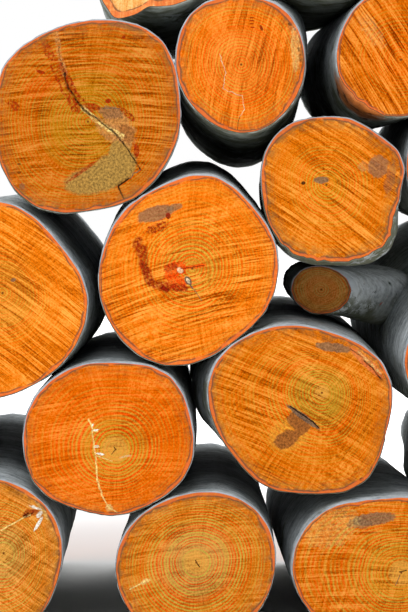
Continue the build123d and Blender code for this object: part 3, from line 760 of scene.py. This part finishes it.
def saw_marks():
    """Slightly curved streaks that a saw leaves across a face, from -1 to 1."""
    m, (place, angle, spacing, curve, seed) = new_group(
        "saw marks", Place=ORIGIN, Angle=0.0, Spacing=0.006, Curve=0.5, Seed=0.0,
    )
    x, y, _ = m.split(m.turned(place, angle))
    sway = m.noise(place, 10, 1, seed=seed)
    bent = m.plus(y, m.times(x, x, curve), m.times(sway, 0.006))
    across = m.maths("DIVIDE", bent, spacing)
    broad = m.noise(m.combine(m.times(x, 7), m.times(across, 0.85)), 1, 1, seed=seed)
    fine = m.noise(m.combine(m.times(x, 16), m.times(across, 2.1)), 1, 2, 0.55, m.plus(seed, 2))
    patch = m.ramp(m.noise(place, 14, seed=m.plus(seed, 5)), 0.34, 0.6, 0.35)
    return m.hand_out(
        Streak=m.times(m.ramp(broad, 0.4, 0.6, -1), patch),
        Fine=m.times(m.ramp(fine, 0.38, 0.62, -1), patch),
    )


def broken_up(m, mask, place, broken):
    """Break a mask into splotches to a given degree."""
    specks = m.ramp(m.noise(place, 170, 4, 0.7, 9), 0.44, 0.56)
    return m.times(mask, m.plus(1, m.times(broken, m.plus(specks, -1))))


def stain_patch():
    """A turned oval with a ragged edge."""
    m, (place, centre, half_length, half_width, turn, ragged, broken) = new_group(
        "stain patch", Place=ORIGIN, Centre=ORIGIN, Half_Length=0.02, Half_Width=0.01, Turn=0.0,
        Ragged=0.35, Broken=0.0,
    )
    x, y, _ = m.split(m.turned(m.vector("SUBTRACT", place, centre), turn))
    oval = m.combine(m.maths("DIVIDE", x, half_length), m.maths("DIVIDE", y, half_width))
    rough = m.noise(place, 110, 4, 0.65, 2)
    reach = m.plus(m.vector("LENGTH", oval), m.times(m.plus(rough, -0.5), ragged, 3))
    return m.hand_out(Mask=broken_up(m, m.ramp(reach, 1.1, 0.84), place, broken))


def crack_line():
    """A line from one point to another with a ragged edge."""
    m, (place, start, end, width, ragged, broken, spread) = new_group(
        "crack line", Place=ORIGIN, From=ORIGIN, To=(0.01, 0, 0), Width=0.002, Ragged=0.003, Broken=0.0,
        Spread=(1, 1, 0),
    )
    wander = m.node("TexNoise", {"Vector": place, "Scale": 120, "Detail": 3}).outputs[1]
    bend = m.node("TexNoise", {"Vector": place, "Scale": 34, "Detail": 1}).outputs[1]
    wander, bend = (m.vector("SUBTRACT", noise, (0.5, 0.5, 0.5)) for noise in (wander, bend))
    wander = m.scaled(m.vector("ADD", wander, m.scaled(bend, 1.6)), ragged)
    spot = m.vector("ADD", place, m.vector("MULTIPLY", wander, spread))
    away = m.vector("SUBTRACT", spot, start)
    along = m.vector("SUBTRACT", end, start)
    length, squared = (m.vector("DOT_PRODUCT", one, along) for one in (away, along))
    part = m.maths("DIVIDE", length, squared, clamp=True)
    near = m.vector("LENGTH", m.vector("SUBTRACT", away, m.scaled(along, part)))
    mask = m.ramp(m.maths("DIVIDE", near, m.times(width, 0.5)), 1.35, 0.65)
    return m.hand_out(Mask=broken_up(m, mask, place, broken))


def rim_layers():
    """The inner bark, the dark line inside it, the outermost edge and the stained wood, by distance."""
    m, (rim, place, width, edge, seed) = new_group(
        "rim layers", Rim=0.1, Place=ORIGIN, Width=0.007, Edge=0.0009, Seed=0.0,
    )
    near = m.plus(rim, m.times(m.plus(m.noise(place, 24, seed=seed), -0.5), 0.004))
    uneven = m.ramp(m.noise(place, 15, 2, 0.6, m.plus(seed, 5)), 0.32, 0.68, 0.45, 1.25)
    quick = m.times(m.plus(m.noise(place, 150, 2, 0.6, seed), -0.5), 0.0018)
    past = m.maths("SUBTRACT", m.plus(near, quick), m.times(width, uneven))
    gaps = m.ramp(m.noise(place, 45, 3, 0.6, m.plus(seed, 3)), 0.36, 0.52, 0.15)
    up = m.split(m.vector("NORMALIZE", place))[1]
    mottle = m.ramp(m.noise(place, 85, 3, 0.65, m.plus(seed, 6)), 0.34, 0.62)
    shade = m.plus(m.times(m.ramp(near, 0.032, 0.008), 0.6), m.times(m.ramp(past, 0.006, 0.001), 0.5))
    return m.hand_out(
        Band=m.times(m.ramp(past, 0.0008, -0.0008), m.plus(0.4, m.times(mottle, 0.4))),
        Line=m.times(m.ramp(m.maths("ABSOLUTE", past), 0.0021, 0.0004), gaps),
        Edge=m.ramp(rim, m.times(edge, 1.3), m.times(edge, 0.7)),
        Shade=m.times(shade, gaps, mottle),
        # which way the rim faces, for the outermost edge's painted highlight above and painted shade below
        Up=m.ramp(up, -0.15, 0.35),
    )


def alder_bark():
    """Bark tones: a mottle drawn round the girth, pores, lichen crusts, dark specks and moss."""
    m, (place, up, moss, lichen) = new_group("alder bark", Place=ORIGIN, Up=0.0, Moss=0.2, Lichen=0.4)
    x, y, z = m.split(place)
    swirl = m.times(m.noise(place, 7), 0.05)
    drawn = m.combine(m.times(x, 9), m.times(m.plus(y, swirl), 110), m.times(z, 9))
    mottle = m.noise(place, 13, 4, 0.6)
    streak = m.noise(drawn, 1, 3, 0.65)
    grain = m.noise(place, 120, 3, 0.6)
    shares = ((mottle, 0.34, 0.4), (streak, 0.36, 0.35), (grain, 0.36, 0.25))
    tone = m.plus(*(m.times(m.ramp(value, low, 1 - low), share) for value, low, share in shares))
    dashes = m.combine(m.times(x, 60), m.times(y, 260), m.times(z, 60))
    pore = m.ramp(m.noise(dashes, 1, 1, seed=2), 0.66, 0.74)
    crust = m.plus(m.noise(place, 6, seed=4), m.times(m.plus(lichen, -0.5), 0.25))
    crusts = m.times(m.ramp(crust, 0.5, 0.62), m.ramp(m.noise(place, 60, 4, 0.7, 5), 0.5, 0.56))
    speck = m.times(m.ramp(crust, 0.48, 0.6), m.ramp(m.noise(place, 150, 2, 0.6, 6), 0.62, 0.68))
    growth = m.plus(m.noise(place, 12, 4, 0.65, 8), m.times(moss, 0.3), m.times(up, -0.1))
    mossy = m.ramp(growth, 0.56, 0.72)
    bumps = ((mottle, 0.6), (streak, 0.25), (grain, 0.3), (crusts, 0.2))
    height = m.plus(*(m.times(*pair) for pair in bumps), mossy)
    return m.hand_out(Tone=tone, Pore=pore, Lichen=crusts, Speck=speck, Moss=mossy, Height=height)


def new_material(name):
    """An empty material: (material, maker, principled shader)."""
    material = bpy.data.materials.new(name)
    material.use_nodes = True
    m = Maker(material.node_tree)
    m.tree.nodes.clear()
    shader = m.node("BsdfPrincipled")
    m.node("OutputMaterial", {0: shader.outputs[0]})
    return material, m, shader


def in_kind(m, kind, texture):
    """The colour of a kind of blotch or line, streaked from darker to paler."""
    if kind not in m.kinds:
        low, high = (linear([share * c for c in KINDS[kind]]) for share in (0.66, 1.18))
        m.kinds[kind] = m.mix(texture, low, high)
    return m.kinds[kind]


def put_stain(m, colour, place, stain, texture):
    """Lay one blotch over a colour."""
    mask = m.group(
        stain_patch, Place=place, Centre=(stain.across * MM, stain.up * MM, 0), Turn=radians(stain.turn),
        Half_Length=stain.half_length * MM, Half_Width=stain.half_width * MM, Ragged=stain.ragged,
        Broken=stain.broken,
    )["Mask"]
    return m.mix(m.times(mask, stain.share), colour, in_kind(m, stain.kind, texture))


def put_crack(m, colour, place, crack, texture):
    """Lay one line over a colour; on the bark its points have three values."""
    solid = len(crack.points[0]) == 3
    points = [Vector(point) + Vector(MIDDLE) if solid else Vector((*point, 0)) for point in crack.points]
    masks = (
        m.group(
            crack_line, Place=place, From=a * MM, To=b * MM, Width=crack.width * MM,
            Ragged=crack.ragged * MM, Broken=crack.broken, Spread=(1, 1, solid),
        )["Mask"]
        for a, b in zip(points, points[1:])
    )
    whole = reduce(partial(m.maths, "MAXIMUM"), masks)
    return m.mix(m.times(whole, 0.92), colour, in_kind(m, crack.kind, texture))


def sawn_wood(look, seed, settings, name=None, bare=False):
    """End grain of one log, with its own rings and saw marks, and unless bare its stains and cracks."""
    material, m, shader = new_material(name or look.node + "_wood")
    place = m.map("place")
    ring, rim, _ = m.split(m.map("depth"))
    rings = m.group(
        growth_rings, Ring=ring, Place=place, Spacing=look.ring * MM, Wobble=settings.ring_wobble,
        Seed=seed,
    )
    marks = {"Place": place, "Spacing": settings.saw_spacing, "Curve": settings.saw_curve}
    saw = m.group(saw_marks, Angle=radians(look.saw_angle), Seed=seed, **marks)
    cross = m.group(saw_marks, Angle=radians(look.saw_angle + 78), Seed=seed + 3, **marks)
    side = m.vector("DOT_PRODUCT", place, (*look.saw_side, 0))
    saw_share = m.times(m.maths("ADD", side, 1, clamp=True), look.saw_share)

    reach = look.heart_reach * MM
    strayed_ring = m.plus(ring, m.times(m.noise(place, 22, 3, 0.6, seed), 0.04), -0.02)
    inner = m.ramp(strayed_ring, reach * 1.25, reach * 0.55)
    colour = m.mix(inner, linear(look.tone), linear(look.heart))
    ring_swing = m.times(
        m.plus(rings["Wave"], m.times(rings["Band"], 0.35)), m.ramp(ring, reach * 2.3, reach, 0.35),
        look.ring_share,
    )
    if look.core:
        core_ring = m.plus(ring, m.times(m.noise(place, 60, 3, 0.6, seed), 0.016), -0.008)
        core = m.times(m.ramp(core_ring, look.core * MM * 1.1, look.core * MM * 0.85), 0.75)
        colour = m.mix(core, colour, linear(CORE))
        ring_swing = m.times(ring_swing, m.maths("SUBTRACT", 1, core))
    colour = m.swing(ring_swing, colour, strayed(look.tone, RING_DEEP), strayed(look.tone, RING_PALE))
    blotch = m.ramp(m.noise(place, 11, 4, 0.6, seed + 1), 0.34, 0.66, -1, 0.8)
    grain = m.ramp(m.noise(place, 300, 4, 0.7, seed), 0.34, 0.66, -1)
    shares = ((blotch, settings.blotches), (grain, settings.grain), (rings["Ray"], settings.rays))
    stray = m.plus(*(m.times(*pair) for pair in shares))
    for marked, strength in ((saw, saw_share), (cross, look.cross_share)):
        stray = m.plus(stray, m.times(m.plus(marked["Streak"], marked["Fine"]), strength, 0.5))
    colour = m.swing(stray, colour, strayed(look.tone, SAW_DEEP), strayed(look.tone, SAW_PALE))
    texture = m.ramp(m.noise(place, 240, 4, 0.75, seed + 4), 0.34, 0.66)
    height = m.plus(m.times(saw["Streak"], 0.4), m.times(saw["Fine"], 0.3))
    if not bare:
        for stain in look.stains:
            colour = put_stain(m, colour, place, stain, texture)
        for crack in look.cracks:
            colour = put_crack(m, colour, place, crack, texture)
    layers = m.group(rim_layers, Rim=rim, Place=place, Width=look.band * MM, Seed=seed)
    colour = m.mix(m.times(layers["Shade"], look.rim_share), colour, linear(RIM_MOTTLE))
    colour = m.mix(layers["Band"], colour, linear(BAND))
    colour = m.mix(m.times(layers["Line"], 0.8), colour, linear(BAND_LINE))
    # painted light: the outermost edge takes a painted highlight where it faces up and painted shade where
    # it faces down
    colour = m.mix(layers["Edge"], colour, m.mix(layers["Up"], linear(EDGE_PAINTED_SHADE), linear(EDGE_PAINTED_HIGHLIGHT)))
    colour = m.mix(m.ramp(m.vector("LENGTH", place), 0.0026, 0.0012), colour, linear(PITH))
    bump = m.node("Bump", {"Height": height, "Strength": 0.3, "Distance": settings.saw_depth}).outputs[0]
    m.fill(shader, {"Base Color": colour, "Roughness": 0.75, "Specular IOR Level": 0, "Normal": bump})
    return material


def bark(look, settings):
    """Bark of one log, with its own blotches, an olive tint with painted shade below, and a painted
    highlight on its upper side near the ends.
    """
    material, m, shader = new_material(look.node + "_bark")
    up, end, _ = m.split(m.map("depth"))
    solid = m.node("TexCoord").outputs["Object"]
    tones = m.group(alder_bark, Place=solid, Up=up, Moss=look.moss, Lichen=look.lichen)
    # painted highlight: the upper side of the bark within a few millimetres of each sawn end is lightened
    end_painted_highlight = m.times(m.ramp(end, 0.0040, 0.0015), m.ramp(up, -0.3, 0.3))
    colour = m.mix(tones["Tone"], tuple(settings.bark_dark), tuple(settings.bark_pale))
    # the underside of the bark takes an olive tint that is also painted shade, by which way it faces
    for mask, share, over in (
        (m.ramp(up, 0.1, -0.8), 0.45, settings.bark_under), (tones["Moss"], 0.75, settings.moss_colour),
        (tones["Pore"], 0.4, settings.pore_colour), (tones["Lichen"], 0.6, settings.lichen_colour),
        (tones["Speck"], 0.7, linear(KINDS["eye"])), (end_painted_highlight, 0.4, linear(EDGE_PAINTED_HIGHLIGHT)),
    ):
        colour = m.mix(m.times(mask, share), colour, tuple(over))
    for crack in look.marks:
        colour = put_crack(m, colour, solid, crack, tones["Tone"])
    bump = m.node("Bump", {"Height": tones["Height"], "Strength": 0.5, "Distance": 0.002}).outputs[0]
    m.fill(shader, {"Base Color": colour, "Roughness": 0.8, "Specular IOR Level": 0.1, "Normal": bump})
    return material


# Settings that a user would change


def a_length(name, description, default):
    return bpy.props.FloatProperty(name=name, description=description, default=default, unit="LENGTH")


def a_share(name, description, default):
    return bpy.props.FloatProperty(name=name, description=description, default=default)


def a_colour(name, description, colour):
    return bpy.props.FloatVectorProperty(
        name=name, description=description, default=linear(colour), size=4, subtype="COLOR", min=0, max=1,
    )


class LogSettings(bpy.types.PropertyGroup):
    """Sizes and colours of the logs."""

    bark_swell: a_length("Bark swell", "How far the bark stands out from the fixed shape", 0.0012)
    bark_lumps: a_length("Bark lumps", "Height of the broad lumps of the bark", 0.0014)
    bark_roughness: a_length("Bark roughness", "Height of the small roughness of the bark", 0.0006)
    rim_chamfer: a_length("Rim chamfer", "Worn width of the edge between a face and the bark", 0.0014)
    rim_chips: a_length("Rim chips", "Deepest chip in the bark at a sawn edge", 0.0018)
    saw_depth: a_length("Saw marks", "Depth of the marks that the saw leaves on a face", 0.0005)
    saw_spacing: a_length("Saw spacing", "Distance between the marks on a face", 0.0048)
    saw_curve: a_share("Saw curve", "How much the marks bend, per metre", 0.4)
    saw_waviness: a_length("Saw waviness", "How much a sawn face swells and dips", 0.0008)
    ring_wobble: a_length("Ring wobble", "How far a growth ring strays from an even course", 0.010)
    blotches: a_share("Blotches", "Strength of the broad blotches of a face", 0.22)
    grain: a_share("Grain", "Strength of the fine grain of a face", 0.3)
    rays: a_share("Rays", "Strength of the streaks that run out from the pith", 0.14)
    bark_dark: a_colour("Dark bark", "Colour in the hollows of the bark", (98, 105, 109))
    bark_pale: a_colour("Pale bark", "Colour on the ridges of the bark", (212, 218, 222))
    # the underside colour is an olive tint and painted shade
    bark_under: a_colour("Bark below", "Colour of the bark's shaded underside", (140, 142, 104))
    pore_colour: a_colour("Pores", "Colour of the pores of the bark", (160, 146, 124))
    lichen_colour: a_colour("Lichen", "Colour of the lichen crusts", (206, 212, 214))
    moss_colour: a_colour("Moss", "Colour of the moss", (84, 86, 58))


class StageSettings(bpy.types.PropertyGroup):
    """Camera, light and floor."""

    camera_distance: a_length("Camera distance", "From the camera to the front faces", 4.0)
    camera_height: a_length("Camera height", "Of the camera above the ground", 0.7515)
    aim_height: a_length("Aim height", "Of the point the camera looks at", 0.5885)
    lens: a_share("Lens", "Focal length in millimetres", 138.4)
    sky: a_share("Sky", "Strength of the light from all round", 1.05)
    front_lamp: a_share("Front lamp", "Power of the large lamp high in front, in watts", 145.0)
    back_lamp: a_share("Back lamp", "Power of the large lamp high behind, in watts", 110.0)
    floor_near: a_length("Shadowed floor", "From the middle to where the floor keeps its shadow", 0.9)
    floor_far: a_length("White floor", "From the middle to where the floor is white", 2.4)


def build_log(look, number, settings):
    """Make one log with its two faces, and its limb if it has one."""
    name = look.node
    seed = 11 * number + 5
    shell = Shell()
    trunk = trunk_of(name)
    stand_back(trunk, look)
    add_face(shell, trunk, look, False, FACE, seed, settings)
    add_face(shell, trunk, look, True, BACK_FACE, seed + 50, settings)
    add_bark(shell, trunk, BARK, seed, settings)
    limb_face = None
    if name == LIMB_LOOK.node:
        limb = limb_of(trunk)
        add_face(shell, limb, LIMB_LOOK, False, LIMB_FACE, seed + 3, settings)
        add_bark(shell, limb, BARK, seed + 4, settings)
        limb_face = sawn_wood(LIMB_LOOK, seed + 3, settings, "limb_wood")
    back = sawn_wood(look, seed + 50, settings, name + "_back_wood", bare=True)
    materials = [sawn_wood(look, seed, settings), bark(look, settings), limb_face, back]
    piece = make_piece(name.replace("_log", ""), shell, materials)
    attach(piece, "root")
    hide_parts(name)


def build_logs(context, forked):
    """Make the logs that have a limb, or those that have none."""
    for number, look in enumerate(LOGS):
        if (look.node == LIMB_LOOK.node) == forked:
            build_log(look, number, context.scene.log_settings)
    return {"FINISHED"}


class LOGS_OT_plain(bpy.types.Operator):
    """Make every straight log of the stack"""

    bl_idname = "logs.plain"
    bl_label = "Straight logs"

    def execute(self, context):
        return build_logs(context, False)


class LOGS_OT_forked(bpy.types.Operator):
    """Make the forked log with its side limb"""

    bl_idname = "logs.forked"
    bl_label = "Forked log"

    def execute(self, context):
        return build_logs(context, True)


def aim_at(thing, place, target):
    """Put a lamp or camera in its place and turn it to a target."""
    thing.location = place
    thing.rotation_euler = (Vector(target) - thing.location).to_track_quat("-Z", "Y").to_euler()


def add_lamp(name, place, power):
    """Add a large soft disk lamp that shines at the middle of the stack."""
    lamp = add_object(name, bpy.data.lights.new(name, "AREA"))
    lamp.data.shape = "DISK"
    lamp.data.size = LAMP_SIZE
    lamp.data.energy = power
    aim_at(lamp, place, (0, 0, cad_high.z / 2))


def add_floor(settings):
    """Add a floor that keeps the stack's shadow and turns white further out."""
    bpy.ops.mesh.primitive_plane_add(size=FLOOR_SIZE, location=(0, 0, cad_low.z - 0.001))
    floor = bpy.context.object
    floor.name = "floor"
    material, m, shader = new_material("floor")
    away = m.vector("LENGTH", m.node("TexCoord").outputs["Object"])
    whiteness = m.ramp(away, settings.floor_near, settings.floor_far)
    seen = m.node("LightPath").outputs["Is Camera Ray"]
    glow = m.times(whiteness, seen)
    paint = {"Base Color": FLOOR_COLOUR, "Roughness": 0.9}
    m.fill(shader, paint | {"Emission Color": WHITE, "Emission Strength": glow})
    floor.data.materials.append(material)


def add_camera(scene, settings):
    """Add the camera, level with the upper logs and square to the front faces."""
    camera = add_object("camera", bpy.data.cameras.new("camera"))
    camera.data.lens = settings.lens
    across, along = MIDDLE[0] * MM, MIDDLE[1] * MM
    place = (across, along - settings.camera_distance, settings.camera_height)
    aim_at(camera, place, (across, along, settings.aim_height))
    camera.data.clip_start, camera.data.clip_end = 0.1, 100
    scene.camera = camera


def add_sky(scene, settings):
    """Add an even light from all round that the camera sees as white."""
    scene.world = bpy.data.worlds.new("sky")
    scene.world.use_nodes = True
    m = Maker(scene.world.node_tree)
    m.tree.nodes.clear()
    rays = m.node("LightPath").outputs
    mirrored = m.maths("MAXIMUM", rays["Is Glossy Ray"], rays["Is Transmission Ray"])
    seen = m.maths("MAXIMUM", rays["Is Camera Ray"], mirrored)
    strength = m.plus(seen, m.times(m.maths("SUBTRACT", 1, seen), settings.sky))
    glow = m.node("Background", {"Color": WHITE, "Strength": strength})
    m.node("OutputWorld", {0: glow.outputs[0]})


class LOGS_OT_stage(bpy.types.Operator):
    """Make the floor, camera, sky and lamps"""

    bl_idname = "logs.stage"
    bl_label = "Stage"

    def execute(self, context):
        scene = context.scene
        settings = scene.stage_settings
        add_floor(settings)
        scene.view_settings.view_transform = "Standard"
        add_camera(scene, settings)
        add_sky(scene, settings)
        add_lamp("front_lamp", FRONT_LAMP, settings.front_lamp)
        add_lamp("back_lamp", BACK_LAMP, settings.back_lamp)
        return {"FINISHED"}


class LOGS_PT_panel(bpy.types.Panel):
    """The parts of the stack"""

    bl_idname = "LOGS_PT_panel"
    bl_label = "Stack of logs"
    bl_space_type = "VIEW_3D"
    bl_region_type = "UI"
    bl_category = "Logs"

    def draw(self, context):
        for operator in (LOGS_OT_plain, LOGS_OT_forked, LOGS_OT_stage):
            self.layout.operator(operator.bl_idname)


CLASSES = (LogSettings, StageSettings, LOGS_OT_plain, LOGS_OT_forked, LOGS_OT_stage, LOGS_PT_panel)


def register():
    for cls in CLASSES:
        bpy.utils.register_class(cls)
    bpy.types.Scene.log_settings = bpy.props.PointerProperty(type=LogSettings)
    bpy.types.Scene.stage_settings = bpy.props.PointerProperty(type=StageSettings)


def unregister():
    del bpy.types.Scene.stage_settings
    del bpy.types.Scene.log_settings
    for cls in reversed(CLASSES):
        bpy.utils.unregister_class(cls)


def main():
    register()
    bpy.ops.logs.plain()
    bpy.ops.logs.forked()
    bpy.ops.logs.stage()


if __name__ == "__main__":
    main()
